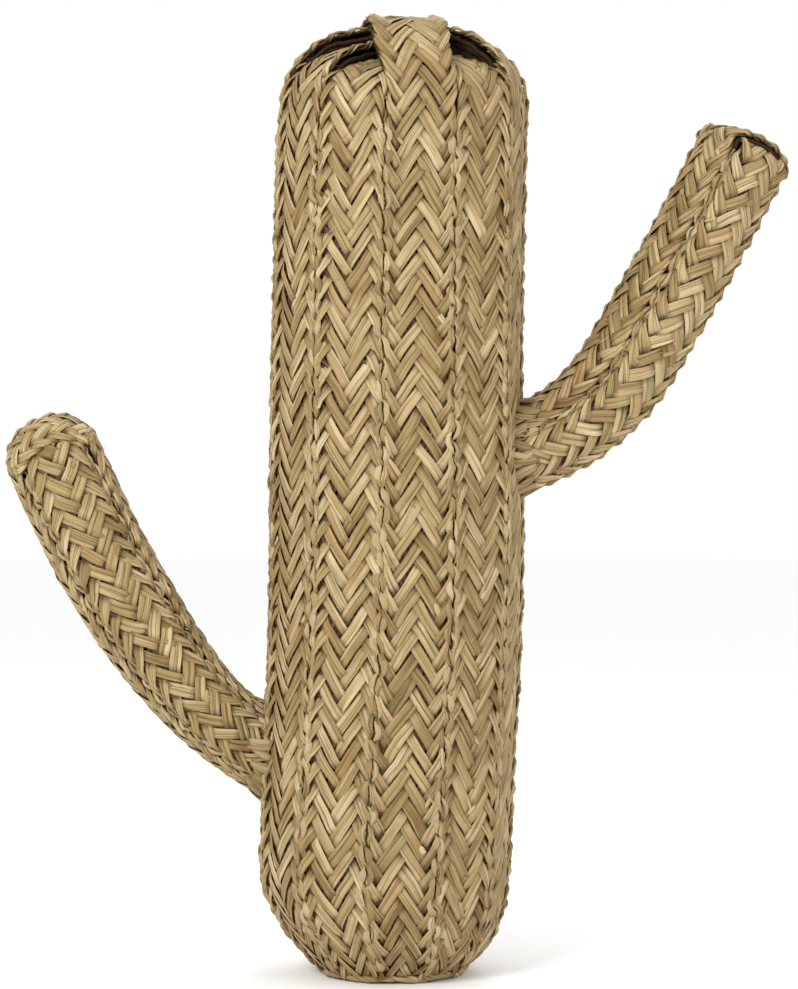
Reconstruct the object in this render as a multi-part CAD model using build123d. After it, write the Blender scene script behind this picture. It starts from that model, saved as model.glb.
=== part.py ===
"""Plaited palm-leaf cactus: a stuffed trunk of five long plaits that cross over the crown, with two stuffed
side arms of two plaits each.  Millimetres, +Z up, origin at the centre of the base on the floor.
The front faces -Y and +X is on the right of someone looking at the front."""

import os
from math import asin, cos, radians, sin, sqrt, tan

from build123d import *

# ---------------------------------------------------------------- driving dimensions
PLAIT_THICKNESS = 3.4
SEAM_CORD_DIAMETER = 2.4
SEAM_HALF_GAP = 1.4
CORD_INSET = 0.6
CORD_FOOT_GAP = 2.0
LACING_GAP = 0.1
CLEARANCE = 0.3

TRUNK_PLAITS = 5
TRUNK_BANDS = 2 * TRUNK_PLAITS
TRUNK_CORNER_RADIUS = 100.0
FIRST_BAND_DEG = 11.5
CROWN_STRAP_WIDTH = 57.0
TOP = 750.0

BASE_RADIUS = 60.0
BASE_THICKNESS = 6.0
BASE_ROUNDING = 1.5
FOOT_BAND_RADIUS = 58.0
FOOT_TANGENT_Z = 90.0
BASE_LACING_DIAMETER = 2.6
BASE_LACING_LIFT = 2.4

ARM_TIP_SHOULDER = 16.0
ARM_TIP_CROWN = 60.0
ARM_TIP_STEP = 4.5
ARM_TIP_SHOULDER_STEP = 2.0
TIP_STRAP_SHARE = 0.58
ARM_HALF_BAND_DEG = 45.0
ROOT_COLLAR_HEIGHT = 4.0
ROOT_COLLAR_THICKNESS = 2.4

# Worked out from the driving dimensions.
HALF_SECTOR = radians(180.0 / TRUNK_BANDS)
APOTHEM = TRUNK_CORNER_RADIUS * cos(HALF_SECTOR)
BAND_HALF_WIDTH = TRUNK_CORNER_RADIUS * sin(HALF_SECTOR)
BAND_FOOT_Z = BASE_THICKNESS + CLEARANCE
TALL = TOP + 50.0

# One entry per trunk plait, from the outermost strap over the crown to the innermost: the number of the
# sector it starts in, the height of its crown, and the radii of its shoulders and of its crown.
TRUNK_STRAPS = {
    "trunk_plait_1": (0, TOP, 58.0, 190.0),
    "trunk_plait_2": (2, TOP - 8.0, 58.0, 190.0),
    "trunk_plait_3": (3, TOP - 23.0, 45.0, 190.0),
    "trunk_plait_4": (1, TOP - 32.0, 32.0, 200.0),
    "trunk_plait_5": (4, TOP - 40.0, 30.0, 200.0),
}
SEAM_TOP_Z = 664.0

# One entry per arm: which side of the trunk it is on, the point where its centre line leaves the trunk,
# the heading there above the horizontal, its curved stretches as (length, heading at the end), its outer
# radius and how far its seams are turned round from facing the front.
ARMS = {
    "left_arm": (-1, (-95.0, 172.0), 30.5, ((96.5, 51.5), (139.0, 64.1), (64.0, 66.0)), 36.0, 7.0),
    "right_arm": (1, (98.5, 406.0), 24.0, ((116.0, 57.0), (182.0, 65.0)), 35.0, 30.0),
}
ARM_STUB = 45.0


def bearing(degrees):
    """Unit vector in plan, 0 at the front and positive towards +X."""
    return Vector(sin(radians(degrees)), -cos(radians(degrees)), 0)


def strap_plane(degrees):
    """Upright plane through the trunk's axis: local x is outwards at that bearing, local y is up."""
    outwards = bearing(degrees)
    return Plane(origin=(0, 0, 0), x_dir=outwards, z_dir=outwards.cross(Vector(0, 0, 1)))


# ---------------------------------------------------------------- trunk
class Arch:
    """Outline of one trunk strap: up from the foot, over a shoulder, and half way across the crown."""

    def __init__(self, apothem, top, shoulder, crown):
        self.apothem, self.top, self.shoulder, self.crown = apothem, top, shoulder, crown
        self.lean = asin((apothem - shoulder) / (crown - shoulder))
        self.crown_centre_z = top - crown
        self.shoulder_z = self.crown_centre_z + (crown - shoulder) * cos(self.lean)
        inwards, rise = apothem - FOOT_BAND_RADIUS, FOOT_TANGENT_Z - BAND_FOOT_Z
        self.foot_radius = (inwards**2 + rise**2) / (2 * inwards)

    def on_shoulder(self, inset, angle):
        """Point on the shoulder arc, angle from straight up."""
        radius = self.shoulder - inset
        centre = self.apothem - self.shoulder
        return centre + radius * sin(angle), self.shoulder_z + radius * cos(angle)

    def on_foot(self, inset, z):
        """Point on the foot arc at height z."""
        drop = FOOT_TANGENT_Z - z
        centre = self.apothem - self.foot_radius
        return centre + sqrt((self.foot_radius - inset) ** 2 - drop**2), z

    def half(self, inset, side):
        """The outline's edges on one side, from the foot to the crown arc's end, inset towards the inside."""
        wall = self.apothem - inset
        mid_foot_z = (BAND_FOOT_Z + FOOT_TANGENT_Z) / 2
        points = [
            self.on_foot(inset, BAND_FOOT_Z),
            self.on_foot(inset, mid_foot_z),
            (wall, FOOT_TANGENT_Z),
            (wall, self.shoulder_z),
            self.on_shoulder(inset, (radians(90) + self.lean) / 2),
            self.on_shoulder(inset, self.lean),
        ]
        foot, foot_mid, low, high, bend_mid, bend = [(side * x, z) for x, z in points]
        return [ThreePointArc(foot, foot_mid, low), Line(low, high), ThreePointArc(high, bend_mid, bend)]

    def ends(self, inset, side):
        """The foot end and the crown end of a half outline."""
        foot, bend = self.on_foot(inset, BAND_FOOT_Z), self.on_shoulder(inset, self.lean)
        return (side * foot[0], foot[1]), (side * bend[0], bend[1])

    def face(self, thickness):
        """The strap seen edge-on: both legs and the crown, of the given thickness."""
        edges = []
        for inset in (0.0, thickness):
            right, left = self.ends(inset, 1), self.ends(inset, -1)
            edges += self.half(inset, 1) + self.half(inset, -1)
            edges.append(ThreePointArc(right[1], (0, self.top - inset), left[1]))
        for side in (1, -1):
            edges.append(Line(self.ends(0.0, side)[0], self.ends(thickness, side)[0]))
        return make_face(edges)


def arch_of(name):
    """The arch of a named trunk plait."""
    _, top, shoulder, crown = TRUNK_STRAPS[name]
    return Arch(APOTHEM, top, shoulder, crown)


def trunk_plait(name):
    """A long plait: narrowed to its own sector on the wall and foot, full width over the crown."""
    sector = TRUNK_STRAPS[name][0]
    turn = FIRST_BAND_DEG + sector * 360.0 / TRUNK_BANDS
    arch = arch_of(name)
    plane = strap_plane(turn)
    strap = extrude(plane * arch.face(PLAIT_THICKNESS), amount=BAND_HALF_WIDTH, both=True)
    reach = 2 * TRUNK_CORNER_RADIUS
    tip = SEAM_HALF_GAP / sin(HALF_SECTOR)
    spread = (reach - tip) * tan(HALF_SECTOR)
    wedge = make_face(Polyline((tip, 0), (reach, spread), (reach, -spread), close=True))
    wedge_rotations = [Rot(Z=turn - 90), Rot(Z=turn + 90)]
    allowed = [extrude(rotation * wedge, amount=TALL) for rotation in wedge_rotations]
    crown_height = TALL - arch.shoulder_z
    crown_box = Box(reach, CROWN_STRAP_WIDTH, crown_height, align=(Align.CENTER, Align.CENTER, Align.MIN))
    allowed.append(Rot(Z=turn - 90) * Pos(0, 0, arch.shoulder_z) * crown_box)
    pieces = [strap & room for room in allowed]
    return pieces[0] + pieces[1] + pieces[2]


def trunk_seam_cord(number):
    """Round lacing cord in the channel between two neighbouring bands."""
    turn = FIRST_BAND_DEG + (number - 0.5) * 360.0 / TRUNK_BANDS
    plane = strap_plane(turn)
    sunk = SEAM_CORD_DIAMETER / 2 + CORD_INSET
    wall = TRUNK_CORNER_RADIUS - sunk
    foot = FOOT_BAND_RADIUS / cos(HALF_SECTOR) - sunk
    foot_z = BAND_FOOT_Z + CORD_FOOT_GAP
    inwards, rise = wall - foot, FOOT_TANGENT_Z - foot_z
    radius = (inwards**2 + rise**2) / (2 * inwards)
    half = asin(rise / radius) / 2
    middle = (wall - radius + radius * cos(half), FOOT_TANGENT_Z - radius * sin(half))
    bend = ThreePointArc((foot, foot_z), middle, (wall, FOOT_TANGENT_Z))
    path = Wire([plane * bend, plane * Line((wall, FOOT_TANGENT_Z), (wall, SEAM_TOP_Z))])
    start = Plane(origin=path @ 0, z_dir=path % 0)
    return sweep(start * Circle(SEAM_CORD_DIAMETER / 2), path=path)


def trunk_filling():
    """Packed straw: a round column inside the bands, domed under the innermost strap."""
    gap = PLAIT_THICKNESS + CLEARANCE
    arch = arch_of("trunk_plait_5")
    edges = arch.half(gap, 1)
    foot, bend = arch.ends(gap, 1)
    centre_z = arch.crown_centre_z
    radius = arch.crown - gap
    middle = (radius * sin(arch.lean / 2), centre_z + radius * cos(arch.lean / 2))
    edges.append(ThreePointArc(bend, middle, (0, arch.top - gap)))
    edges.append(Line((0, arch.top - gap), (0, foot[1])))
    edges.append(Line((0, foot[1]), foot))
    return revolve(strap_plane(90) * make_face(edges), axis=Axis.Z)


def base_disc():
    """Round coiled base that the object rests on."""
    disc = Cylinder(BASE_RADIUS, BASE_THICKNESS, align=(Align.CENTER, Align.CENTER, Align.MIN))
    return fillet(disc.edges().group_by(Axis.Z)[-1], BASE_ROUNDING)


def base_lacing():
    """Cord ring that lashes the ends of the bands to the base."""
    radius = BASE_LACING_DIAMETER / 2
    return Pos(0, 0, radius + BASE_LACING_LIFT) * Torus(BASE_RADIUS + radius + LACING_GAP, radius)


def envelope(extra):
    """The trunk's outer wall as a solid prism, grown by extra."""
    turn = FIRST_BAND_DEG - 90 + 180.0 / TRUNK_BANDS
    outline = RegularPolygon(APOTHEM + extra, TRUNK_BANDS, major_radius=False)
    return Rot(Z=turn) * extrude(outline, amount=TOP)


# ---------------------------------------------------------------- arms
class Arm:
    """A curved stuffed tube in the XZ plane, closed by two straps that cross over its tip."""

    def __init__(self, name):
        self.name = name
        side, root, heading, stretches, self.radius, self.turn = ARMS[name]
        self.path = self.centre_line(side, root, heading, stretches)
        self.inner = self.radius - PLAIT_THICKNESS

    def centre_line(self, side, root, heading, stretches):
        """Straight stub inside the trunk, then tangent arcs."""

        def towards(degrees):
            return Vector(side * cos(radians(degrees)), 0, sin(radians(degrees)))

        at = Vector(root[0], 0, root[1])
        edges = [Line(at - towards(heading) * ARM_STUB, at)]
        for length, end_heading in stretches:
            half_turn = radians(end_heading - heading) / 2
            chord = length * sin(half_turn) / half_turn
            after = at + towards((heading + end_heading) / 2) * chord
            edges.append(TangentArc(at, after, tangent=towards(heading)))
            at, heading = after, end_heading
        return Wire(edges)

    def plane_at(self, share):
        """Plane across the arm: local x faces the front, local z runs along the arm."""
        return Plane(origin=self.path @ share, x_dir=(0, -1, 0), z_dir=self.path % share)

    def along(self, section):
        """Sweeps a flat section the whole length of the arm."""
        return sweep(self.plane_at(0) * section, path=self.path)

    def outside_trunk(self, solid):
        """What is left of a solid beyond the trunk's wall."""
        return solid - envelope(CLEARANCE)

    def quarter(self, degrees):
        """Curved section of one band, centred at an angle from the front."""
        ring = Circle(self.radius) - Circle(self.inner)
        reach = 2 * self.radius
        tip = SEAM_HALF_GAP / sin(radians(ARM_HALF_BAND_DEG))
        spread = (reach - tip) * tan(radians(ARM_HALF_BAND_DEG))
        wedge = make_face(Polyline((tip, 0), (reach, spread), (reach, -spread), close=True))
        return ring & (Rot(Z=degrees) * wedge)

    def tip_dome(self, inset, lower, shoulder):
        """Solid dome over the tip, inset from the arm's outer wall; lower sinks it under the strap outside."""
        crown = ARM_TIP_CROWN
        lean = asin((self.radius - shoulder) / (crown - shoulder))
        centre = self.radius - shoulder
        radius = shoulder - inset
        top = crown - (crown - shoulder) * cos(lean) - lower
        middle = (radians(90) + lean) / 2
        rim = (self.radius - inset, -lower)
        knee = (centre + radius * sin(middle), radius * cos(middle) - lower)
        bend = (centre + radius * sin(lean), radius * cos(lean) - lower)
        mid_crown = ((crown - inset) * sin(lean / 2), top - crown + (crown - inset) * cos(lean / 2))
        apex = (0, top - inset)
        edges = [ThreePointArc(rim, knee, bend), ThreePointArc(bend, mid_crown, apex)]
        edges += [Line(apex, (0, -lower)), Line((0, -lower), rim)]
        return revolve(Plane.XZ * make_face(edges), axis=Axis.Z)

    def tip_strap(self, degrees, lower, shoulder):
        """The part of a plait that crosses the tip, in place on the arm."""
        shell = self.tip_dome(0.0, lower, shoulder) - self.tip_dome(PLAIT_THICKNESS, lower, shoulder)
        depth = 2 * self.radius
        slab = Box(2 * depth, TIP_STRAP_SHARE * depth, depth, align=(Align.CENTER, Align.CENTER, Align.MIN))
        return self.plane_at(1) * (shell & (Rot(Z=degrees) * slab))

    def plait(self, degrees, lower, shoulder):
        """Two opposite bands and the strap that joins them over the tip."""
        bands = [self.along(self.quarter(degrees + half_turn)) for half_turn in (0, 180)]
        strap = self.tip_strap(degrees, lower, shoulder)
        return self.outside_trunk(bands[0] + bands[1] + strap)

    def seam_cord(self, number):
        """Round lacing cord between two bands."""
        angle = self.turn + ARM_HALF_BAND_DEG * (2 * number - 1)
        reach = self.radius - SEAM_CORD_DIAMETER / 2 - CORD_INSET
        spot = Pos(reach * cos(radians(angle)), reach * sin(radians(angle)))
        return self.outside_trunk(self.along(spot * Circle(SEAM_CORD_DIAMETER / 2)))

    def filling(self, lower, shoulder):
        """Packed straw from the trunk's wall to just under the inner strap."""
        core = self.along(Circle(self.inner - CLEARANCE))
        dome = self.tip_dome(PLAIT_THICKNESS + CLEARANCE, lower, shoulder)
        return self.outside_trunk(core + self.plane_at(1) * dome)

    def root_lacing(self):
        """Stitched collar where the arm is sewn to the trunk."""
        inside = self.radius + LACING_GAP
        collar = self.along(Circle(inside + ROOT_COLLAR_THICKNESS) - Circle(inside))
        near = envelope(CLEARANCE + ROOT_COLLAR_HEIGHT) - envelope(CLEARANCE)
        return collar & near


def arm_parts(name):
    """Every sub-part of one arm, by node name."""
    arm = Arm(name)
    under = (ARM_TIP_STEP, ARM_TIP_SHOULDER - ARM_TIP_SHOULDER_STEP)
    outer = arm.plait(arm.turn - 90, 0.0, ARM_TIP_SHOULDER)
    inner = arm.plait(arm.turn, *under)
    parts = {f"{name}_plait_outer": outer, f"{name}_plait_inner": inner}
    for number in range(1, 5):
        parts[f"{name}_seam_cord_{number}"] = arm.seam_cord(number)
    parts[f"{name}_filling"] = arm.filling(*under)
    parts[f"{name}_root_lacing"] = arm.root_lacing()
    return parts


# ---------------------------------------------------------------- assembly
def all_parts():
    """Every sub-part by node name."""
    parts = {"base_disc": base_disc(), "base_lacing": base_lacing(), "trunk_filling": trunk_filling()}
    for name in TRUNK_STRAPS:
        parts[name] = trunk_plait(name)
    for number in range(1, TRUNK_BANDS + 1):
        parts[f"trunk_seam_cord_{number:02d}"] = trunk_seam_cord(number)
    for name in ARMS:
        parts.update(arm_parts(name))
    return parts


def main():
    os.makedirs("parts", exist_ok=True)
    for name, shape in all_parts().items():
        shape.label = name
        export_step(shape, f"parts/{name}.step")
        print(name, "solids", len(shape.solids()), "volume", round(shape.volume))


main()
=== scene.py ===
"""Plaited palm-leaf cactus: leaf strands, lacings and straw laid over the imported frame.

Every plait is made of single split strands that run over and under each other and fold back at the plait's
edges.  A strand starts as a straight tube and is bent along its own path.  Metres, +Z up, the front faces -Y.
"""

import logging
import math
from dataclasses import dataclass, field
from enum import Enum

import bmesh
import bpy
import numpy as np
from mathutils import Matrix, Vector

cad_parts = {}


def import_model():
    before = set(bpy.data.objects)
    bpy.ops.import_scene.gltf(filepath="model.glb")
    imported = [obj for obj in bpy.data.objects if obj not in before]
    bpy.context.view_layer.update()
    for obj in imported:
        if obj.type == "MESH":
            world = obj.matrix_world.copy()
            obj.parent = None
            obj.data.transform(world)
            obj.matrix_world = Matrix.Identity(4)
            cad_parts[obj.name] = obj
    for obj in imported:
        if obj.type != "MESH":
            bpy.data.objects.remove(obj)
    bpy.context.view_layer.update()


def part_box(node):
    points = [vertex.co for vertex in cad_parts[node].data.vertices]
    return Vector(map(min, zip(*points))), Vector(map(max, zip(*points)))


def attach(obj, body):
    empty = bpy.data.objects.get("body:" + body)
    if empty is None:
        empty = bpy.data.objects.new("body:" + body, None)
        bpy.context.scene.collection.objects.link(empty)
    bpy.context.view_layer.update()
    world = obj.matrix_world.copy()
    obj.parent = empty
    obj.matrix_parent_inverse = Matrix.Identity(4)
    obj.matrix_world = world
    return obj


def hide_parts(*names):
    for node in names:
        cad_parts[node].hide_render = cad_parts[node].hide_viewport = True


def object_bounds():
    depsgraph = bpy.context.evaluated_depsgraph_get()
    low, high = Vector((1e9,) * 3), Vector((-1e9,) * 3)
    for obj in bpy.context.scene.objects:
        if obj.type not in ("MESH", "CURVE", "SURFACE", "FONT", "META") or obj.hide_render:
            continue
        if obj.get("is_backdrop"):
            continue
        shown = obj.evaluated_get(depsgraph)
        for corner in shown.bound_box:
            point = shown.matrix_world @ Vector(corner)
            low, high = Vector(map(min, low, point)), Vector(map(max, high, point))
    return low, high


LOG = logging.getLogger("cactus")
BODY = "root"
Array = np.ndarray
UP = np.array([0.0, 0.0, 1.0])
FRONT = np.array([0.0, -1.0, 0.0])


class Slot(Enum):
    """The record's material slots."""

    PLAIT = "palm_plait"
    LACING = "lacing_strand"
    BASE = "base_coil"
    STRAW = "straw_filling"


# ---------------------------------------------------------------- small helpers
def unit(vectors: Array) -> Array:
    """Scales vectors to length one along their last axis."""
    return vectors / np.maximum(np.linalg.norm(vectors, axis=-1, keepdims=True), 1e-12)


def bearing(degrees: float) -> Array:
    """Unit vector in plan, 0 at the front and positive towards +X."""
    angle = math.radians(degrees)
    return np.array([math.sin(angle), -math.cos(angle), 0.0])


def ease(share: Array) -> Array:
    """Smooth step from 0 to 1 as share goes from 0 to 1."""
    held = np.clip(share, 0.0, 1.0)
    return held * held * (3.0 - 2.0 * held)


def wander(rng: np.random.Generator, places: Array, wavelength: float) -> Array:
    """Smooth random curve.

    Args:
        rng: where its random phases come from.
        places: distances at which the curve is read.
        wavelength: length of its longest waves.

    Returns:
        One value per place, mostly within -1 to 1.
    """
    total = np.zeros_like(places)
    for octave in range(3):
        for _ in range(2):
            rate = 2.0 * math.pi * 2.0**octave * rng.uniform(0.7, 1.3) / wavelength
            total += 0.5 * 0.6**octave * np.sin(rate * places + rng.uniform(0.0, 2.0 * math.pi))
    return total


def hump(places: Array, middle: float, span: float) -> Array:
    """Bell curve that is 1 at its middle and dies away over its span."""
    return np.exp(-(((places - middle) / span) ** 2))


def turned(vectors: Array, angle: Array) -> Array:
    """Vectors turned about Z, each by its own angle."""
    x = vectors[:, 0] * np.cos(angle) - vectors[:, 1] * np.sin(angle)
    y = vectors[:, 0] * np.sin(angle) + vectors[:, 1] * np.cos(angle)
    return np.stack([x, y, vectors[:, 2]], axis=1)


def square_to(vectors: Array, tangent: Array) -> Array:
    """Unit vectors square to a path's direction, each as near as it can be to the one given."""
    return unit(vectors - tangent * np.sum(vectors * tangent, axis=1, keepdims=True))


def lengths(path: Array) -> Array:
    """Distance along a path at each of its points."""
    steps = np.linalg.norm(np.diff(path, axis=0), axis=1)
    return np.concatenate([[0.0], np.cumsum(steps)])


def read_off(vectors: Array, along: Array, places: Array) -> Array:
    """Reads vectors, which are given at distances along a path, at other places along it."""
    return np.stack([np.interp(places, along, vectors[:, axis]) for axis in range(3)], axis=1)


def draw_tube(bm: bmesh.types.BMesh, sides: int, stations: int) -> None:
    """Draws a straight closed tube in an empty mesh, with its outline repeated every metre along Z.

    Args:
        bm: the mesh that it is drawn in.
        sides: how many sides its outline has.
        stations: how many outlines it has.
    """
    bmesh.ops.create_circle(bm, cap_ends=False, segments=sides, radius=1.0)
    bmesh.ops.spin(
        bm,
        geom=bm.verts[:] + bm.edges[:],
        cent=(0, 0, 0),
        axis=(0, 0, 1),
        dvec=(0, 0, 1),
        angle=0.0,
        steps=stations - 1,
        use_merge=False,
        use_duplicate=False,
    )
    ends = [edge for edge in bm.edges if edge.is_boundary]
    bmesh.ops.holes_fill(bm, edges=ends, sides=sides)
    bmesh.ops.recalc_face_normals(bm, faces=bm.faces)


def as_object(bm: bmesh.types.BMesh, name: str) -> bpy.types.Object:
    """Moves a mesh that has been shaped into a new object."""
    mesh = bpy.data.meshes.new(name)
    bm.to_mesh(mesh)
    bm.free()
    return bpy.data.objects.new(name, mesh)


# ---------------------------------------------------------------- bending straight blanks into strands
@dataclass
class Run:
    """One strand to be bent: its path, which way its face looks, and its section along the path."""

    centre: Array
    up: Array
    half_width: Array
    half_thick: Array
    tone: Array
    warm: Array
    # How far the strand lies under others, 0 to 1: the mask of the leaf finish's painted shade.
    deep: Array | None = None
    flat: bool = True

    def frame(self) -> tuple[Array, Array]:
        """Side and up directions, square to the path, at each station."""
        tangent = unit(np.gradient(self.centre, axis=0))
        up = square_to(self.up, tangent)
        return np.cross(up, tangent), up


class Blank:
    """A straight closed six-sided tube with a ring of corners at each station, kept for reuse."""

    SIDES = 6
    TOP_CORNER = math.radians(60)
    _made: dict[int, "Blank"] = {}

    def __init__(self, stations: int) -> None:
        """Makes the tube by drawing a six-sided outline out along Z, one station at a time."""
        bm = bmesh.new()
        draw_tube(bm, self.SIDES, stations)
        for face in bm.faces:
            face.smooth = len(face.verts) == 4
        self.mesh = bpy.data.meshes.new("blank")
        bm.to_mesh(self.mesh)
        bm.free()
        self.mesh.uv_layers.new(name="leaf")
        for name in ("tone", "warm", "rim", "deep"):
            self.mesh.attributes.new(name, "FLOAT", "POINT")
        co = np.empty(len(self.mesh.vertices) * 3)
        self.mesh.vertices.foreach_get("co", co)
        co = co.reshape(-1, 3)
        self.ring = np.clip(np.rint(co[:, 2]).astype(int), 0, stations - 1)
        self.cos, self.sin = co[:, 0], co[:, 1]
        loops = np.empty(len(self.mesh.loops), dtype=np.int32)
        self.mesh.loops.foreach_get("vertex_index", loops)
        self.loops = loops

    @classmethod
    def of(cls, stations: int) -> "Blank":
        """The blank with this many stations."""
        if stations not in cls._made:
            cls._made[stations] = cls(stations)
        return cls._made[stations]


class Basket:
    """Gathers bent strands and turns them into one piece.

    A flat strand's section is squared off by a power, and its corners past a share of its width are its rims.
    Each strand starts at a random place of the fibre pattern.
    """

    SQUARENESS = 0.42
    RIM_FROM = 0.9
    PATTERN_SPAN = 8.0

    def __init__(self, rng: np.random.Generator) -> None:
        """Starts empty; rng gives each strand its place in the fibre pattern."""
        self.bm = bmesh.new()
        self.rng = rng

    def add(self, run: Run) -> None:
        """Bends a blank along a run and keeps it.

        Args:
            run: the strand's path and section.
        """
        blank = Blank.of(len(run.centre))
        side, up = run.frame()
        if run.flat:
            across = np.sign(blank.cos) * np.abs(blank.cos) ** self.SQUARENESS
            rise = blank.sin / math.sin(blank.TOP_CORNER)
        else:
            across, rise = blank.cos, blank.sin
        ring = blank.ring
        co = (
            run.centre[ring]
            + side[ring] * (run.half_width[ring] * across)[:, None]
            + up[ring] * (run.half_thick[ring] * rise)[:, None]
        )
        mesh = blank.mesh.copy()
        mesh.vertices.foreach_set("co", co.ravel())
        mesh.attributes["tone"].data.foreach_set("value", run.tone[ring])
        mesh.attributes["warm"].data.foreach_set("value", run.warm[ring])
        # Mask of the painted shade where the strand passes under others.
        deep = np.zeros(len(run.centre)) if run.deep is None else run.deep
        mesh.attributes["deep"].data.foreach_set("value", deep[ring])
        # Rims: the side corners of the section, which the leaf finish darkens as painted shade.
        rim = np.where(np.abs(blank.cos) > self.RIM_FROM, 1.0, 0.0)
        mesh.attributes["rim"].data.foreach_set("value", rim)
        shift = self.rng.uniform(0.0, self.PATTERN_SPAN, 2)
        places = [across * run.half_width[ring] + shift[0], lengths(run.centre)[ring] + shift[1]]
        leaf = np.stack(places, axis=1)
        mesh.uv_layers["leaf"].data.foreach_set("uv", leaf[blank.loops].ravel())
        self.bm.from_mesh(mesh)
        bpy.data.meshes.remove(mesh)

    def piece(self, name: str, material: bpy.types.Material, slot: Slot, *nodes: str) -> bpy.types.Object:
        """Makes the gathered strands one object.

        Args:
            name: the piece's name.
            material: its finish.
            slot: the record's material slot.
            nodes: the CAD nodes that it stands for.

        Returns:
            The object, riding on the body.
        """
        return settle(as_object(self.bm, name), material, slot, *nodes)


def settle(
    piece: bpy.types.Object, material: bpy.types.Material, slot: Slot, *nodes: str
) -> bpy.types.Object:
    """Links, dresses and attaches a finished piece, and hides its CAD nodes.

    Args:
        piece: the object.
        material: its finish.
        slot: the record's material slot; not used.
        nodes: the CAD nodes that it stands for.

    Returns:
        The same object.
    """
    bpy.context.scene.collection.objects.link(piece)
    piece.data.materials.clear()
    piece.data.materials.append(material)
    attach(piece, BODY)
    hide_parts(*nodes)
    LOG.info("%s: %d faces", piece.name, len(piece.data.polygons))
    return piece


# ---------------------------------------------------------------- beds that plaits lie on
@dataclass
class Bed:
    """A long strip of surface, sampled along its middle, that a plait lies on.

    At each point of its middle it has an outward and an across direction, the radius that it is curved to
    from side to side, and the share of its full width that a plait has there.
    """

    centre: Array
    outward: Array
    across: Array
    curve: Array
    share: Array
    along: Array = field(init=False)

    def __post_init__(self) -> None:
        """Measures the distance along the strip's middle."""
        self.along = lengths(self.centre)

    @property
    def length(self) -> float:
        """Length of the strip's middle."""
        return float(self.along[-1])

    def read(self, values: Array, places: Array) -> Array:
        """Reads one of the strip's arrays at distances along it."""
        if values.ndim == 1:
            return np.interp(places, self.along, values)
        return read_off(values, self.along, places)

    def place(self, u: Array, v: Array, h: Array) -> tuple[Array, Array, Array]:
        """Turns plait coordinates into space.

        Args:
            u: distance across, from the middle.
            v: distance along.
            h: height above the strip.

        Returns:
            The points, and the across and outward directions there.
        """
        outward = unit(self.read(self.outward, v))
        across = unit(self.read(self.across, v))
        curve, share = self.read(self.curve, v), self.read(self.share, v)
        angle = (u * share / curve)[:, None]
        normal = outward * np.cos(angle) + across * np.sin(angle)
        sideways = across * np.cos(angle) - outward * np.sin(angle)
        points = self.read(self.centre, v)
        points = points + across * (curve[:, None] * np.sin(angle))
        points = points - outward * (curve[:, None] * (1.0 - np.cos(angle)))
        return points + normal * h[:, None], sideways, normal


@dataclass
class TrunkShape:
    """Sizes that every trunk band shares, and how the trunk leans, swells and twists.

    The trunk leans to the right above its plumb height and to the left below it, bows to the right below its
    middle, and steps over to the right a little near its top, but its foot stands still.  Its bands are
    crowded together round one bearing, in degrees from the front.
    """

    radius: float = 0.0950
    foot_radius: float = 0.0512
    foot_z: float = 0.0026
    foot_tangent_z: float = 0.092
    pillow: float = 0.094
    bands: int = 10
    first_band: float = 11.5
    crowd: float = 0.11
    crowded_at: float = 11.0
    lean: float = 0.0225
    plumb_z: float = 0.40
    bow: float = 0.0036
    bow_z: float = 0.29
    bow_span: float = 0.13
    step_over: float = 0.0022
    step_z: float = 0.62
    step_span: float = 0.10
    still_z: float = 0.015
    still_span: float = 0.07
    stuffing: float = 0.0002
    belly: float = 0.0018
    belly_z: float = 0.33
    belly_span: float = 0.16
    twist_least: float = -1.0
    twist_growth: float = -25.0
    twist_z: float = 0.42

    @property
    def sector(self) -> float:
        """Angle between two neighbouring bands, in degrees."""
        return 360.0 / self.bands

    def sway(self, height: Array) -> Array:
        """How far the trunk's middle stands to the right of its base at each height."""
        lean = (height - self.plumb_z) * self.lean
        lean = lean + self.bow * hump(height, self.bow_z, self.bow_span)
        lean = lean + self.step_over * ease((height - self.step_z) / self.step_span)
        return lean * ease((height - self.still_z) / self.still_span)

    def swell(self, height: Array) -> Array:
        """How much thicker than its plain radius the trunk's wall is at each height."""
        return self.stuffing + self.belly * hump(height, self.belly_z, self.belly_span)

    def twist(self, height: Array) -> Array:
        """How far the bands are turned about the trunk at each height, in radians."""
        return np.radians(self.twist_least + self.twist_growth * (height - self.twist_z) ** 2)

    def crowding(self, degrees: float) -> tuple[float, float]:
        """How uneven the bands are: they stand closer together in front than behind.

        Args:
            degrees: where an evenly spaced band would be.

        Returns:
            How far the band is moved round the trunk, in radians, and its share of the even width.
        """
        away = math.radians(degrees - self.crowded_at)
        return -self.crowd * math.sin(away), 1.0 - self.crowd * math.cos(away)

    @property
    def foot_arc(self) -> float:
        """Radius of the arc that draws the wall in to the foot."""
        inwards, rise = self.radius - self.foot_radius, self.foot_tangent_z - self.foot_z
        return (inwards**2 + rise**2) / (2.0 * inwards)

    def wall_radius(self, height: Array) -> Array:
        """Radius of the trunk at heights below the shoulder."""
        drop = np.clip(self.foot_tangent_z - height, 0.0, None)
        return self.radius - self.foot_arc + np.sqrt(self.foot_arc**2 - drop**2)

    def wall_tilt(self, height: Array) -> Array:
        """How far the wall's outward direction turns down at the foot, in radians."""
        return np.arcsin(np.clip((self.foot_tangent_z - height) / self.foot_arc, 0.0, 1.0))


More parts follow.
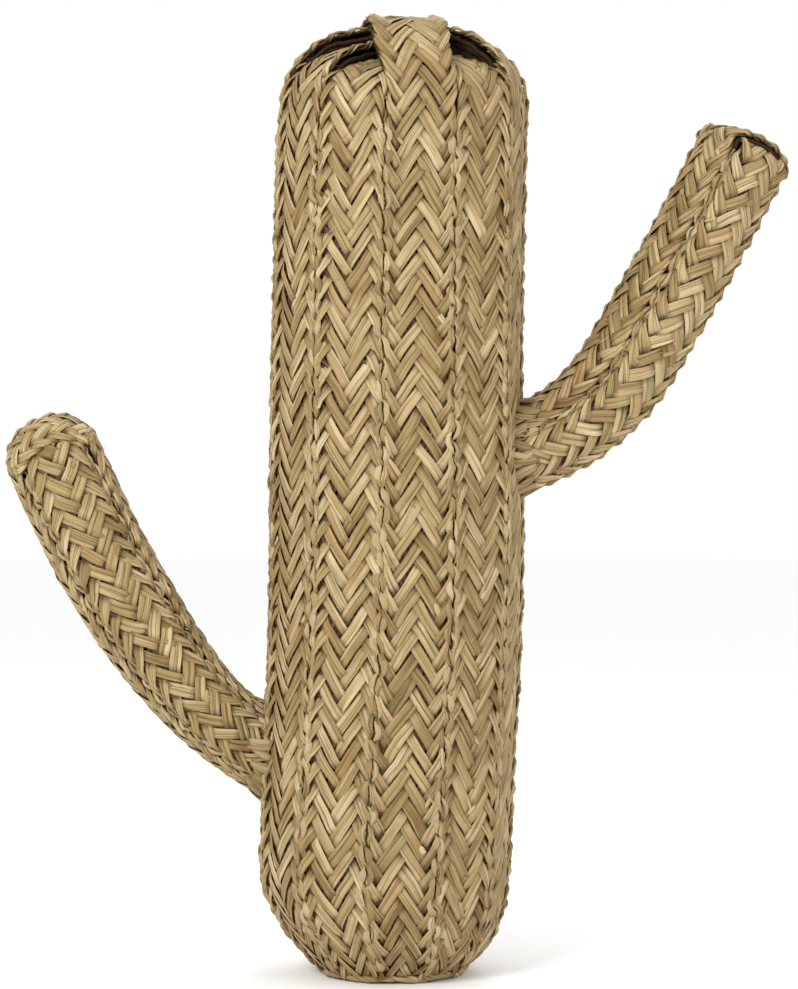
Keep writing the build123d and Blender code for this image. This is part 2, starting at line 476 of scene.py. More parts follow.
@dataclass
class Arch:
    """The path of one trunk plait: up from the foot, over the crown and down the other side.

    It starts at a bearing in degrees.  Its shoulder and its crown are arcs, each given by its radius.
    """

    shape: TrunkShape
    start: float
    top: float
    shoulder: float
    crown: float
    shift: float = 0.0
    step: float = 0.0015
    swell_fade: float = 0.05
    hub: float = 0.085
    crown_wider: float = 0.03
    summit_narrower: float = 0.12
    summit_from: float = 0.955
    summit_span: float = 0.03
    crown_flatter: float = 0.10
    least_level: float = 0.35
    narrow_below: float = 0.2

    def half(self) -> tuple[Array, Array, Array]:
        """Radius, height and outward tilt above level, from the foot to the middle of the crown."""
        shape = self.shape
        lean = math.asin((shape.radius - self.shoulder) / (self.crown - self.shoulder))
        crown_z = self.top - self.crown
        shoulder_z = crown_z + (self.crown - self.shoulder) * math.cos(lean)
        foot = np.arange(shape.foot_z, shape.foot_tangent_z, self.step * 0.5)
        wall = np.arange(shape.foot_tangent_z, shoulder_z, self.step)
        swell = shape.swell(wall) * ease((wall - wall[0]) / self.swell_fade)
        bend = np.arange(0.0, math.pi / 2 - lean, self.step / self.shoulder)
        over = np.arange(lean, 0.0, -self.step / self.crown)
        radius = [
            shape.wall_radius(foot),
            shape.radius + swell * ease((wall[-1] - wall) / self.swell_fade),
            shape.radius - self.shoulder + self.shoulder * np.cos(bend),
            self.crown * np.sin(over),
        ]
        height = [foot, wall, shoulder_z + self.shoulder * np.sin(bend), crown_z + self.crown * np.cos(over)]
        tilt = [-shape.wall_tilt(foot), np.zeros_like(wall), bend, math.pi / 2 - over]
        return np.concatenate(radius), np.concatenate(height), np.concatenate(tilt)

    def bed(self) -> Bed:
        """The whole strip of the arch."""
        shape = self.shape

        # The arch in its own upright plane: up one side, over the middle and down the other.
        radius, height, tilt = self.half()
        radial = bearing(self.start)
        across = np.cross(UP, radial)
        radius = np.concatenate([radius, -radius[::-1]])
        level = np.concatenate([np.cos(tilt), -np.cos(tilt[::-1])])
        rise = np.concatenate([np.sin(tilt), np.sin(tilt[::-1])])
        height = np.concatenate([height, height[::-1]])
        on_crown = np.clip(rise, 0.0, 1.0)

        # The bands are turned and crowded on the wall, and run straight over the crown.
        half = len(height) // 2
        on_wall = ease(np.abs(radius) / self.hub)
        moves, shares = zip(shape.crowding(self.start), shape.crowding(self.start + 180.0))
        turn = shape.twist(height) + np.repeat(moves, half) * on_wall
        crowded = 1.0 + (np.repeat(shares, half) - 1.0) * on_wall * (1.0 - on_crown)
        centre = radius[:, None] * radial + height[:, None] * UP
        centre = turned(centre + across * (self.shift * ease(on_crown * 1.6))[:, None], turn)
        centre[:, 0] += shape.sway(height)
        outward = turned(level[:, None] * radial + rise[:, None] * UP, turn)

        # The plait is narrower at the foot, and flatter and narrower at the summit.
        low = shape.wall_radius(np.minimum(height, self.narrow_below))
        foot_share = np.clip(low / shape.radius, 0.0, 1.0)
        summit = ease((on_crown - self.summit_from) / self.summit_span)
        wider = self.crown_wider * ease(on_crown * 1.4)
        share = foot_share * crowded * (1.0 + wider - self.summit_narrower * summit)
        curve = shape.pillow * foot_share / np.clip(np.abs(level), self.least_level, 1.0)
        curve = np.where(rise > 0.0, shape.pillow + self.crown_flatter * ease(on_crown), curve)
        return Bed(centre, outward, turned(np.tile(across, (len(centre), 1)), turn), curve, share)


@dataclass
class ArmShape:
    """A curved side arm in the XZ plane: its centre line and its thickness.

    The centre line leaves its root point, given as X and Z, at a heading in degrees above level.  Each
    stretch is a length and the heading that it bends to.  The arm thickens from its root over its spread, and
    its bands are turned round it in degrees.  Its tip is an arc for the shoulder and a flatter arc for the
    crown, and its outer strap slips forward over it.
    """

    name: str
    side: int
    root: tuple[float, float]
    heading: float
    stretches: tuple[tuple[float, float], ...]
    radius: float
    root_radius: float
    turn: float
    shoulder: float = 0.016
    crown: float = 0.060
    drape: float = 0.082
    forward: float = 0.0
    spread: float = 0.12
    stub: float = 0.030
    step: float = 0.0015
    hug: float = 0.96
    strap_narrower: float = 0.10

    def __post_init__(self) -> None:
        """Samples the centre line: a straight stub inside the trunk, then its curved stretches."""
        headings = [np.full(int(self.stub / self.step), math.radians(self.heading))]
        heading = self.heading
        for length, after in self.stretches:
            count = int(length / self.step)
            headings.append(np.radians(np.linspace(heading, after, count)))
            heading = after
        angle = np.concatenate(headings)
        moves = np.stack([self.side * np.cos(angle), np.zeros_like(angle), np.sin(angle)], axis=1) * self.step
        path = np.cumsum(moves, axis=0)
        start = len(headings[0])
        self.path = path - path[start] + np.array([self.root[0], 0.0, self.root[1]])
        self.tangent = unit(moves)
        self.along = np.arange(len(path)) * self.step
        share = ease(np.clip((self.along - self.stub) / self.spread, 0.0, 1.0))
        self.radii = self.root_radius + (self.radius - self.root_radius) * share

    def outward(self, degrees: float) -> Array:
        """Directions square to the centre line, at an angle round it from the front."""
        across = np.cross(self.tangent, FRONT)
        angle = math.radians(degrees)
        return math.cos(angle) * FRONT + math.sin(angle) * across

    def tip_profile(self) -> tuple[Array, Array, Array]:
        """Reach, height above the end of the path and outward tilt, from the tip's rim to its middle."""
        radius, shoulder, crown = self.radius, self.shoulder, self.crown
        lean = math.asin((radius - shoulder) / (crown - shoulder))
        bend = np.arange(0.0, math.pi / 2 - lean, self.step / shoulder)
        over = np.arange(lean, 0.0, -self.step / crown)
        reach = np.concatenate([radius - shoulder + shoulder * np.cos(bend), crown * np.sin(over)])
        peak = crown * (np.cos(over) - math.cos(lean)) + shoulder * math.cos(lean)
        lift = np.concatenate([shoulder * np.sin(bend), peak])
        return reach, lift, np.concatenate([bend, math.pi / 2 - over])

    def bed(self, degrees: float, lower: float, forward: float = 0.0) -> Bed:
        """The strip of one plait: out along the arm, over the tip and back on the other side.

        Args:
            degrees: where the first band is, round the arm from the front.
            lower: how far its strap is sunk under the strap outside it.
            forward: how far its strap slips to the front over the tip, in degrees.

        Returns:
            The strip.
        """
        # Two legs along the arm, on opposite sides of its centre line.
        first, second = self.outward(degrees), -self.outward(degrees)
        legs = [self.path + self.radii[:, None] * side for side in (first, second)]
        radius = self.radius

        # The strap over the tip, which leans forward about the middle of the dome.
        reach, lift, tilt = self.tip_profile()
        lift = lift - lower
        side, ahead, tip = first[-1], self.tangent[-1], self.path[-1]
        reach = np.concatenate([reach, -reach[::-1]])
        lift = np.concatenate([lift, lift[::-1]])
        level = np.concatenate([np.cos(tilt), -np.cos(tilt[::-1])])
        rise = np.concatenate([np.sin(tilt), np.sin(tilt[::-1])])
        skip = max(1, int(lower / self.step) + 1)
        slip = np.radians(forward) * ease(rise * 1.5)
        toward = np.cross(ahead, side) * np.sign(np.dot(np.cross(ahead, side), FRONT))
        up = ahead * np.cos(slip)[:, None] + toward * np.sin(slip)[:, None]
        down = toward * np.cos(slip)[:, None] - ahead * np.sin(slip)[:, None]
        hub = lift.max() - radius
        dome = tip + reach[:, None] * side + hub * ahead + (lift - hub)[:, None] * up
        dome_out = level[:, None] * side + rise[:, None] * up

        # Leg, strap and leg as one strip.
        centre = np.concatenate([legs[0][:-skip], dome, legs[1][::-1][skip:]])
        outward = np.concatenate([first[:-skip], dome_out, second[::-1][skip:]])
        across = np.cross(self.tangent, first)
        dome_across = down * np.sign(np.dot(across[-1], toward))
        across = np.concatenate([across[:-skip], dome_across, across[::-1][skip:]])
        radii = np.concatenate([self.radii[:-skip], np.full(len(dome), radius), self.radii[::-1][skip:]])
        flat = np.zeros(len(centre))
        middle = slice(len(legs[0]) - skip, len(legs[0]) - skip + len(dome))
        flat[middle] = ease(rise)
        curve = radii * self.hug * (1.0 - flat) + self.drape * flat
        return Bed(centre, outward, across, curve, radii / radius * (1.0 - self.strap_narrower * flat))


# ---------------------------------------------------------------- the plait itself
@dataclass
class Plait:
    """A flat plait of leaf strands laid on a bed.

    Each strand goes from edge to edge in passes, one pitch further on than its neighbour.  It steps over or
    under at three columns, is pinched and thicker where it folds back at an edge, and is split into two
    halves that overlap a little.
    """

    bed: Bed
    strands: int
    width: float
    seed: int
    pitch: float = 0.0167
    rise: float = 0.00090
    thick: float = 0.00042
    rounding: float = 0.0095
    fold_length: float = 0.0052
    fill: float = 0.99
    shingle: float = 0.085
    edge_lift: float = 0.0013
    rough: float = 1.25
    edge_strands: float = 2.5
    near_fold: tuple[float, ...] = (0.0, 0.0017, 0.0034, 0.0054, 0.0084, 0.0122)
    near_step: tuple[float, ...] = (-0.0034, -0.0012, 0.0012, 0.0034)
    rim_from: float = 0.29
    rim_span: float = 0.10
    pinch: float = 0.56
    pinch_span: float = 0.0098
    pinch_thicker: float = 1.9
    overlap: float = 0.015
    least_half_share: float = 0.22
    fit: float = 0.985
    # How strongly lying over or under sets the mask of the painted shade.
    painted_depth_shade_contrast: float = 0.62
    frays_at_edge: float = 0.6
    end_margin: float = 0.05
    least_half: float = 0.00004

    def __post_init__(self) -> None:
        """Works out the lie of a strand from the plait's width and pitch."""
        self.rng = np.random.default_rng(self.seed)
        self.pass_length = self.strands * self.pitch / 2.0
        self.steep = self.pass_length / self.width
        self.strand_width = self.pitch * math.cos(math.atan(self.steep)) * self.fill
        edge = self.edge_strands / self.strands
        self.steps = (edge, 0.5, 1.0 - edge)

    def stations(self) -> Array:
        """Distances along one pass, from edge to edge, where a strand gets a station."""
        places = list(self.near_fold) + [self.pass_length - place for place in self.near_fold[1:]]
        for share in self.steps:
            places += [share * self.pass_length + shift for shift in self.near_step]
        for low, high in zip(self.steps, self.steps[1:]):
            places.append((low + high) / 2.0 * self.pass_length)
        return np.sort(np.array(places))

    def waver(self, v: Array, size: float, wavelength: float) -> Array:
        """Hand-made unevenness along the plait: a random curve of this size on a plait of roughness 1."""
        return size * self.rough * wander(self.rng, v, wavelength)

    def strand(self, number: int, basket: Basket) -> None:
        """Lays one strand, as two leaf halves side by side, from one end of the plait to the other.

        Args:
            number: which strand of the plait.
            basket: where its leaves go.
        """
        rng, reach = self.rng, self.pass_length
        passes = np.arange(-2, int(self.bed.length / reach) + 3)
        local = self.stations()
        turn = np.repeat(passes, len(local))
        within = np.tile(local, len(passes))
        v = number * self.pitch + turn * reach + within
        keep = (v > 0.0) & (v < self.bed.length)
        turn, within, v = turn[keep], within[keep], v[keep]
        heading = np.where(turn % 2 == 0, 1.0, -1.0)
        from_fold = np.minimum(within, reach - within)
        before = within > reach / 2.0
        edge_sign = np.where(before, heading, -heading)

        # Across: straight from edge to edge, and rounded off at the folds.
        rounded = from_fold + self.rounding * np.exp(-from_fold / self.rounding)
        u = edge_sign * (self.width / 2.0 - rounded / self.steep)

        # Facing: 1 with one face up, -1 with the other, and it turns over at each fold.
        past = np.clip(np.where(before, -from_fold, from_fold) / self.fold_length, -1.0, 1.0)
        facing = np.where(np.abs(past) < 1.0, -edge_sign * np.sin(math.pi / 2.0 * past), heading)

        # Height: it changes from over to under at each column, and the plait's edges stand up a little.
        lap = self.width / self.strands / 2.0
        weave = np.ones_like(u)
        for share in self.steps:
            edge = (share - 0.5) * self.width
            weave *= np.sin(math.pi / 2.0 * np.clip((u - edge) / lap, -1.0, 1.0))
        rim = ease((np.abs(u) / self.width - self.rim_from) / self.rim_span)
        top = weave * facing
        h = self.rise * top + rim * (self.edge_lift + self.rise * 0.9 * top)

        # The hand's unevenness, and then the strand's lie on the bed.
        u = u + self.waver(v, size=0.0007, wavelength=0.07)
        slip = v + self.waver(v, size=0.0009, wavelength=0.12)
        h = h + self.waver(v, size=0.00022, wavelength=0.05)
        points, sideways, normal = self.bed.place(u, slip, h)
        up = facing[:, None] * normal + np.sqrt(np.clip(1.0 - facing**2, 0.0, 1.0))[:, None] * sideways
        share = self.bed.read(self.bed.share, v)
        gather = hump(from_fold, 0.0, self.pinch_span)
        uneven = rng.uniform(0.90, 1.04) + self.waver(v, size=0.07, wavelength=0.11)
        width = self.strand_width * share * (1.0 - self.pinch * gather) * uneven
        # Painted shade mask: 1 where the strand passes under others, 0 where it lies over them.
        deep = np.clip(0.5 - self.painted_depth_shade_contrast * top, 0.0, 1.0)
        self.split(points, up, width, gather, deep, v, basket)

    def split(
        self, points: Array, up: Array, width: Array, gather: Array, deep: Array, v: Array, basket: Basket
    ) -> None:
        """Lays the leaf halves of one strand.

        Args:
            points: the strand's middle.
            up: the direction its face looks.
            width: its whole width.
            gather: 1 where it is pinched at a fold, 0 away from folds.
            deep: 1 where it lies under other strands, 0 where it lies over them; the leaf finish paints shade
                by it.
            v: distance along the plait.
            basket: where the leaves go.
        """
        rng = self.rng
        tangent = unit(np.gradient(points, axis=0))
        up = square_to(up, tangent)
        side = np.cross(up, tangent)
        lean = -np.sign(side[:, 2]) * self.shingle * (1.0 - gather)
        lean = lean + self.waver(v, size=0.07, wavelength=0.07)
        side = side * np.cos(lean)[:, None] + up * np.sin(lean)[:, None]
        up = unit(np.cross(tangent, side))
        off_middle = rng.choice([-1.0, 1.0]) * rng.uniform(0.02, 0.20)
        parting = 0.5 + off_middle + 0.13 * wander(rng, v, 0.16)
        parting = np.clip(parting, self.least_half_share, 1.0 - self.least_half_share)
        base_tone = rng.uniform(0.25, 0.75)
        base_warm = rng.uniform(0.2, 0.8)
        for half in (0, 1):
            low = np.zeros_like(parting) if half == 0 else parting - self.overlap
            high = parting + self.overlap if half == 0 else np.ones_like(parting)
            middle = ((low + high) / 2.0 - 0.5) * width
            lift = 0.00012 * wander(rng, v, 0.06) + (0.0001 if half else -0.0001)
            roll = self.rough * (0.075 * wander(rng, v, 0.05) + rng.uniform(-0.03, 0.03))
            leaf_up = up * np.cos(roll)[:, None] - side * np.sin(roll)[:, None]
            centre = points + side * middle[:, None] + up * lift[:, None]
            tone = np.clip(base_tone + rng.uniform(-0.12, 0.12) + 0.20 * wander(rng, v, 0.10), 0.0, 1.0)
            warm = np.clip(base_warm + 0.22 * wander(rng, v, 0.14), 0.0, 1.0)
            half_width = (high - low) * width / 2.0 * self.fit
            half_thick = self.thick * (1.0 + self.pinch_thicker * gather)
            basket.add(Run(centre, leaf_up, half_width, half_thick, tone, warm, deep))

    def frays(self, basket: Basket, count: int) -> None:
        """Adds thin fibre ends that stand out from the plait.

        Args:
            basket: where the fibres go.
            count: how many.
        """
        rng = self.rng
        for _ in range(count):
            if rng.random() < self.frays_at_edge:
                u0 = rng.choice([-1.0, 1.0]) * self.width * rng.uniform(0.34, 0.43)
            else:
                u0 = rng.uniform(-0.02, 0.02)
            length = rng.uniform(0.004, 0.013)
            slant = rng.choice([-1.0, 1.0]) * rng.uniform(0.5, 1.2)
            half = rng.uniform(0.00016, 0.00045)
            self.loose_end(basket, u0, length, slant, rng.uniform(0.08, 0.40), half, flat=0.35)

    def stubs(self, basket: Basket, count: int) -> None:
        """Adds short wide leaf ends where one leaf stops and the next is laid in.

        Args:
            basket: where the ends go.
            count: how many.
        """
        rng = self.rng
        column = self.width * (0.5 - self.steps[0])
        for _ in range(count):
            u0 = rng.choice([-column, 0.0, column, column * 1.15]) + rng.uniform(-0.002, 0.002)
            slant = rng.choice([-1.0, 1.0]) * math.atan(self.steep) * rng.uniform(0.8, 1.15)
            half = rng.uniform(0.0012, 0.0025)
            length = rng.uniform(0.007, 0.012)
            self.loose_end(basket, u0, length, slant, rng.uniform(0.05, 0.16), half, flat=0.16)

    def loose_end(
        self, basket: Basket, u0: float, length: float, slant: float, lift: float, half: float, flat: float
    ) -> None:
        """Lays one loose end at a random height along the plait.

        Args:
            basket: where it goes.
            u0: how far across the plait it starts.
            length: its length.
            slant: its direction in the plait's own plane, in radians.
            lift: how far its tip stands out, as a share of its length.
            half: half its width at the root.
            flat: its thickness as a share of its width.
        """
        rng = self.rng
        along = np.linspace(0.0, 1.0, 5)
        u = u0 + length * along * math.cos(slant) * rng.choice([-1.0, 1.0])
        start = rng.uniform(self.end_margin, self.bed.length - self.end_margin)
        v = start + length * along * math.sin(slant)
        points, _, normal = self.bed.place(u, v, 0.0010 + length * lift * along**1.6)
        point = 1.0 if flat > 0.2 else 6.0
        taper = half * (1.05 - along**point) + self.least_half
        tone = np.full_like(along, rng.uniform(0.2, 1.0))
        warm = np.full_like(along, rng.random())
        basket.add(Run(points, normal, taper, taper * flat + self.least_half, tone, warm))

    def weave(self, name: str, material: bpy.types.Material, frays: int = 110) -> bpy.types.Object:
        """Lays every strand and makes the plait one piece.

        Args:
            name: the CAD node that it stands for.
            material: its finish.
            frays: how many loose fibre ends it has.

        Returns:
            The plait.
        """
        basket = Basket(self.rng)
        for number in range(self.strands):
            self.strand(number, basket)
        self.frays(basket, frays)
        self.stubs(basket, frays // 4)
        return basket.piece(f"{name}_leaf", material, Slot.PLAIT, name)


# ---------------------------------------------------------------- shader building
class Value:
    """A shader socket that can be used in Python arithmetic."""

    def __init__(self, shader: "Shader", socket: bpy.types.NodeSocket) -> None:
        """Wraps a socket of a shader."""
        self.shader, self.socket = shader, socket

    def _math(self, operation: str, first: "Value | float", second: "Value | float") -> "Value":
        """Adds one Math node."""
        return self.shader.node("ShaderNodeMath", {"operation": operation}, {0: first, 1: second})

    def __add__(self, other: "Value | float") -> "Value":
        """Sum."""
        return self._math("ADD", self, other)

    __radd__ = __add__

    def __sub__(self, other: "Value | float") -> "Value":
        """Difference."""
        return self._math("SUBTRACT", self, other)

    def __rsub__(self, other: float) -> "Value":
        """Difference from a number."""
        return self._math("SUBTRACT", other, self)

    def __mul__(self, other: "Value | float") -> "Value":
        """Product."""
        return self._math("MULTIPLY", self, other)

    __rmul__ = __mul__

    def __pow__(self, other: float) -> "Value":
        """Power."""
        return self._math("POWER", self, other)


class Shader:
    """Builds one node material around a Principled shader."""

    def __init__(self, name: str) -> None:
        """Starts a material with only its output and its Principled shader."""
        self.material = bpy.data.materials.new(name)
        self.material.use_nodes = True
        self.tree = self.material.node_tree
        self.skin = self.tree.nodes["Principled BSDF"]

    def node(self, kind: str, settings: dict, links: dict, output: int | str = 0) -> Value:
        """Adds a node.

        Args:
            kind: the node's type.
            settings: its own properties, set before its sockets.
            links: numbers, colours or values for its input sockets.
            output: which output to return.

        Returns:
            The chosen output.
        """
        made = self.tree.nodes.new(kind)
        for key, value in settings.items():
            setattr(made, key, value)
        for key, value in links.items():
            if isinstance(value, Value):
                self.tree.links.new(value.socket, made.inputs[key])
            else:
                made.inputs[key].default_value = value
        return Value(self, made.outputs[output])

    def ramp(self, factor: Value, stops: tuple[tuple[float, tuple[float, float, float]], ...]) -> Value:
        """Colour ramp with the given stops."""
        value = self.node("ShaderNodeValToRGB", {}, {"Fac": factor})
        elements = value.socket.node.color_ramp.elements
        while len(elements) < len(stops):
            elements.new(0.5)
        for element, (place, colour) in zip(elements, stops):
            element.position = place
            element.color = (*colour, 1.0)
        return value

    def attribute(self, name: str) -> Value:
        """A number carried by the mesh."""
        return self.node("ShaderNodeAttribute", {"attribute_name": name}, {}, "Fac")

    def noise(self, place: Value, scale: float, detail: float = 3.0, rough: float = 0.55) -> Value:
        """Fractal noise at a place."""
        links = {"Vector": place, "Scale": scale, "Detail": detail, "Roughness": rough}
        return self.node("ShaderNodeTexNoise", {}, links, "Fac")

    def stretched(self, place: Value, scale: tuple[float, float, float]) -> Value:
        """A place with its axes scaled."""
        return self.node("ShaderNodeMapping", {}, {"Vector": place, "Scale": scale}, "Vector")

    def mix(
        self, factor: Value | float, first: Value | tuple, second: Value | tuple, blend: str = "MIX"
    ) -> Value:
        """Mixes two colours."""
        settings = {"data_type": "RGBA", "blend_type": blend}
        return self.node("ShaderNodeMix", settings, {0: factor, 6: first, 7: second}, 2)

    def spread(self, value: Value, low: float, high: float) -> Value:
        """Stretches the range low to high over 0 to 1, held at both ends."""
        settings = {"clamp": True}
        links = {"Value": value, "From Min": low, "From Max": high, "To Min": 0.0, "To Max": 1.0}
        return self.node("ShaderNodeMapRange", settings, links)

    def feed(self, socket: str, value: Value | float | tuple) -> None:
        """Sets or links a socket of the Principled shader."""
        if isinstance(value, Value):
            self.tree.links.new(value.socket, self.skin.inputs[socket])
        else:
            self.skin.inputs[socket].default_value = value


def linear(red: int, green: int, blue: int) -> tuple[float, float, float]:
    """Linear colour from everyday 0 to 255 values."""
    levels = (red / 255.0, green / 255.0, blue / 255.0)
    return tuple(((level + 0.055) / 1.055) ** 2.4 for level in levels)


@dataclass(frozen=True)
class DryLeaf:
    """Split dry palm leaf: fine fibres along the strand, mixed straw tones, and painted shade at rims and
    splits.
    """

    name: str
    dark: tuple[float, float, float] = linear(102, 73, 27)
    middle: tuple[float, float, float] = linear(160, 137, 92)
    light: tuple[float, float, float] = linear(212, 192, 152)
    green: tuple[float, float, float] = linear(140, 132, 86)
    brown: tuple[float, float, float] = linear(142, 98, 54)
    # Painted shade: shares of the dark tone's red, green and blue that are left where strands lie deep, and
    # in splits.
    painted_depth_shade_tint: tuple[float, float, float] = (0.30, 0.20, 0.10)
    painted_crack_shade_tint: float = 0.45
    browning: float = 0.42
    greening: float = 0.34
    # Strengths of the painted shade on rims, where strands pass under others, and in splits.
    painted_rim_shade: float = 0.58
    painted_depth_shade: float = 0.90
    painted_crack_shade: float = 0.55
    sheen: float = 0.28
    fibre_height: float = 0.00022
    fibre_strength: float = 0.55
    shade: float = 1.0

    def make(self) -> bpy.types.Material:
        """Builds the finish.

        Its fibres, streaks, blotches and splits are noise that is drawn out along the strand, and the mesh
        says which strands are light or warm, where their rims are and where they lie deep.  Rims, splits and
        deep places get painted shade.

        Returns:
            The material.
        """
        shader = Shader(self.name)
        leaf = shader.node("ShaderNodeUVMap", {"uv_map": "leaf"}, {})
        tone, warm, rim, deep = (shader.attribute(name) for name in ("tone", "warm", "rim", "deep"))
        fibre = shader.noise(shader.stretched(leaf, (2600.0, 22.0, 1.0)), 1.0, 2.0)
        streak = shader.noise(shader.stretched(leaf, (700.0, 9.0, 1.0)), 1.0, 3.0)
        blotch = shader.noise(shader.stretched(leaf, (160.0, 45.0, 1.0)), 1.0, 4.0)
        split = shader.spread(shader.noise(shader.stretched(leaf, (900.0, 4.0, 1.0)), 1.0, 1.0), 0.36, 0.42)

        level = tone * 0.62 + streak * 0.55 + blotch * 0.30 + fibre * 0.16 - 0.32
        colour = shader.ramp(level, ((0.08, self.dark), (0.48, self.middle), (0.92, self.light)))
        colour = shader.mix(shader.spread(warm, 0.60, 0.95) * self.browning, colour, (*self.brown, 1.0))
        colour = shader.mix(shader.spread(warm, 0.36, 0.08) * self.greening, colour, (*self.green, 1.0))
        # Painted shade: the strand's side rims darken in place of the shaded gaps between strands.
        colour = shader.mix(rim**2.0 * self.painted_rim_shade, colour, (*self.dark, 1.0))
        # Painted shade: strands turn deep brown where they pass under other strands.
        depth = (part * share for part, share in zip(self.dark, self.painted_depth_shade_tint))
        colour = shader.mix(deep * self.painted_depth_shade, colour, (*depth, 1.0))
        # Painted shade: the splits between leaf fibres darken as if shaded in their grooves.
        crack = (part * self.painted_crack_shade_tint for part in self.dark)
        colour = shader.mix((1.0 - split) * self.painted_crack_shade, colour, (*crack, 1.0))
        if self.shade < 1.0:
            colour = shader.mix(1.0, colour, (self.shade, self.shade, self.shade, 1.0), "MULTIPLY")
        shader.feed("Base Color", colour)
        shader.feed("Roughness", 0.50 + 0.28 * streak)
        shader.feed("Specular IOR Level", self.sheen)
        height = fibre * 0.35 + streak * 0.5 + split * 0.9
        bump = {"Strength": self.fibre_strength, "Distance": self.fibre_height, "Height": height}
        shader.feed("Normal", shader.node("ShaderNodeBump", {}, bump))
        return shader.material


@dataclass(frozen=True)
class StrawInPaintedShade:
    """Packed straw seen only through gaps, coloured near black as painted shade for the hollows."""

    name: str
    # Both tones are far darker than straw: painted shade for the hollows where it shows.
    deep: tuple[float, float, float] = linear(28, 18, 8)
    pale: tuple[float, float, float] = linear(66, 47, 24)
    sheen: float = 0.15
    stalk_height: float = 0.0012

    def make(self) -> bpy.types.Material:
        """Builds the finish."""
        shader = Shader(self.name)
        place = shader.node("ShaderNodeTexCoord", {}, {}, "Object")
        stalks = shader.noise(shader.stretched(place, (420.0, 420.0, 60.0)), 1.0, 3.0)
        clumps = shader.noise(place, 55.0, 4.0)
        colour = shader.ramp(stalks * 0.7 + clumps * 0.5 - 0.1, ((0.25, self.deep), (0.75, self.pale)))
        shader.feed("Base Color", colour)
        shader.feed("Roughness", 0.75 + 0.15 * clumps)
        shader.feed("Specular IOR Level", self.sheen)
        bump = {"Strength": 0.8, "Distance": self.stalk_height, "Height": stalks + clumps}
        shader.feed("Normal", shader.node("ShaderNodeBump", {}, bump))
        return shader.material


@dataclass(frozen=True)
class PaleGround:
    """Plain pale floor."""

    name: str
    colour: tuple[float, float, float] = (0.96, 0.96, 0.96)
    roughness: float = 0.9

    def make(self) -> bpy.types.Material:
        """Builds the finish."""
        shader = Shader(self.name)
        shader.feed("Base Color", (*self.colour, 1.0))
        shader.feed("Roughness", self.roughness)
        return shader.material


# ---------------------------------------------------------------- cords and stitches
class Lacer:
    """Twisted lacing cords and single stitches."""

    def __init__(self, seed: int) -> None:
        """Starts with its own random source."""
        self.rng = np.random.default_rng(seed)

    def twist(
        self, basket: Basket, path: Array, outward: Array, radius: float, lay: float = 0.013, plies: int = 2
    ) -> None:
        """Twists plies round a path.

        Args:
            basket: where the plies go.
            path: the cord's middle.
            outward: a direction square to the path at each point.
            radius: half the cord's thickness.
            lay: length of one full twist.
            plies: how many.
        """
        tangent = unit(np.gradient(path, axis=0))
        up = square_to(outward, tangent)
        side = np.cross(up, tangent)
        along = lengths(path)
        base = self.rng.uniform(0.2, 0.7)
        for ply in range(plies):
            angle = 2.0 * math.pi * (along / lay + ply / plies) + 0.5 * wander(self.rng, along, lay * 4.0)
            arm = side * np.cos(angle)[:, None] + up * np.sin(angle)[:, None]
            centre = path + arm * (radius * 0.5)
            half = radius * (0.62 + 0.10 * wander(self.rng, along, lay * 2.0))
            tone = np.clip(base + 0.2 * wander(self.rng, along, 0.05), 0.0, 1.0)
            warm = np.clip(0.5 + 0.3 * wander(self.rng, along, 0.07), 0.0, 1.0)
            basket.add(Run(centre, arm, half, half * 0.75, tone, warm))

    def loops(
        self, basket: Basket, path: Array, outward: Array, pitch: float, half_width: float, reach: float
    ) -> None:
        """Lays slanted lens-shaped loops along a seam, turn and turn about on its two sides.

        Args:
            basket: where the loops go.
            path: the seam's middle.
            outward: a direction square to the path at each point.
            pitch: distance between two loops on the same side.
            half_width: half the width of a loop at its middle.
            reach: how far a loop's middle stands off the seam's middle.
        """
        rng = self.rng
        along = lengths(path)
        share = np.linspace(0.0, 1.0, 8)
        for side_sign in (-1.0, 1.0):
            start = rng.uniform(0.0, pitch)
            while start + 1.25 * pitch < along[-1]:
                length = pitch * rng.uniform(0.95, 1.22)
                place = start + length * share
                middle = read_off(path, along, place)
                up = unit(read_off(outward, along, place))
                tangent = unit(np.gradient(middle, axis=0))
                across = np.cross(up, tangent) * side_sign
                bow = np.sin(math.pi * share)
                slant = side_sign * rng.uniform(0.2, 0.9)
                stand_off = reach * rng.uniform(0.75, 1.10) * (0.25 + 0.75 * bow + slant * (share - 0.5))
                lift = 0.0016 * bow * rng.uniform(0.7, 1.2)
                points = middle + across * stand_off[:, None] + up * lift[:, None]
                face = unit(up + across * (0.35 * rng.uniform(0.5, 1.5)))
                half = half_width * rng.uniform(0.80, 1.15) * (0.13 + 0.87 * bow)
                tone = np.clip(rng.uniform(0.25, 0.85) + 0.1 * share, 0.0, 1.0)
                warm = np.full_like(share, rng.uniform(0.2, 0.8))
                basket.add(Run(points, face, half, half * 0.36, tone, warm))
                start += pitch * rng.uniform(0.96, 1.04)

    def stitch(self, basket: Basket, points: Array, outward: Array, half_width: float) -> None:
        """Lays one short flat stitch through a few points.

        Args:
            basket: where it goes.
            points: its path, at least three points.
            outward: the direction its face looks at each point.
            half_width: half its width.
        """
        count = len(points)
        tone = np.full(count, self.rng.uniform(0.15, 0.85))
        warm = np.full(count, self.rng.uniform(0.2, 0.9))
        taper = 0.45 + 0.55 * np.sin(np.linspace(0.25, math.pi - 0.25, count))
        basket.add(Run(points, outward, half_width * taper, 0.0005 * taper + 0.0002, tone, warm))


# ---------------------------------------------------------------- sub-assemblies
@dataclass(frozen=True)
class StrawLayer:
    """One layer of straw bundles laid side by side under a strap.

    Its bundles have half a thickness each and a top height, which is below the strap's bed where it is
    negative.  They reach to both sides of the strap's middle, and each swings a little from side to side.
    """

    bundles: int
    half: float
    top: float
    reach: float
    swing: float


